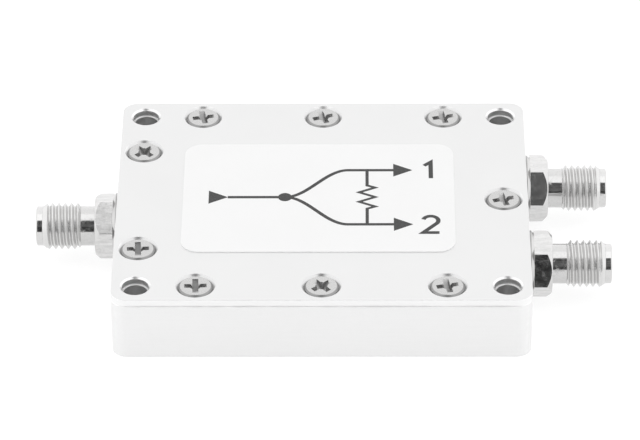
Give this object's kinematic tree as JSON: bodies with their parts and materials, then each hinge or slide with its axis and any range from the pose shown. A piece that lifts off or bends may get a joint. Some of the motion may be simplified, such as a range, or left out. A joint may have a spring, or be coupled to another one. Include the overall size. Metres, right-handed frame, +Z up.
{
  "type": "rf power splitter",
  "caption": "Flat machined box with a screwed lid that splits one radio-frequency input evenly between output jacks, with threaded coaxial jacks on its ends and corner mounting holes.",
  "frame": {"origin": "middle of the underside, halfway between the ends of the jacks", "axes": "+X from the input jack to the output jacks, +Y across the box, +Z up through the lid"},
  "size_m": [0.0782, 0.0458, 0.0096],
  "materials": {
    "housing_aluminium": "fine satin, near white",
    "lid_aluminium": "fine satin, near white",
    "screw_steel": "bright plated",
    "label_film": "matt white film",
    "jack_nickel": "polished turned metal",
    "insulator_white": "waxy white",
    "contact_gold": "gold plated",
    "board_laminate": "glass-filled laminate",
    "track_copper": "bare copper",
    "resistor_chip": "matt chip"
  },
  "bodies": {
    "root": {"housing": "housing_aluminium", "lid": "lid_aluminium", "lid_screws": "screw_steel", "label": "label_film", "input_shell": "jack_nickel", "input_insulator": "insulator_white", "input_contact": "contact_gold", "output_1_shell": "jack_nickel", "output_1_insulator": "insulator_white", "output_1_contact": "contact_gold", "output_2_shell": "jack_nickel", "output_2_insulator": "insulator_white", "output_2_contact": "contact_gold", "circuit_board": "board_laminate", "divider_track": "track_copper", "isolation_resistor_1": "resistor_chip", "isolation_resistor_2": "resistor_chip", "isolation_resistor_3": "resistor_chip", "isolation_resistor_4": "resistor_chip", "isolation_resistor_5": "resistor_chip", "isolation_resistor_6": "resistor_chip", "board_screws": "screw_steel"}
  },
  "joints": []
}
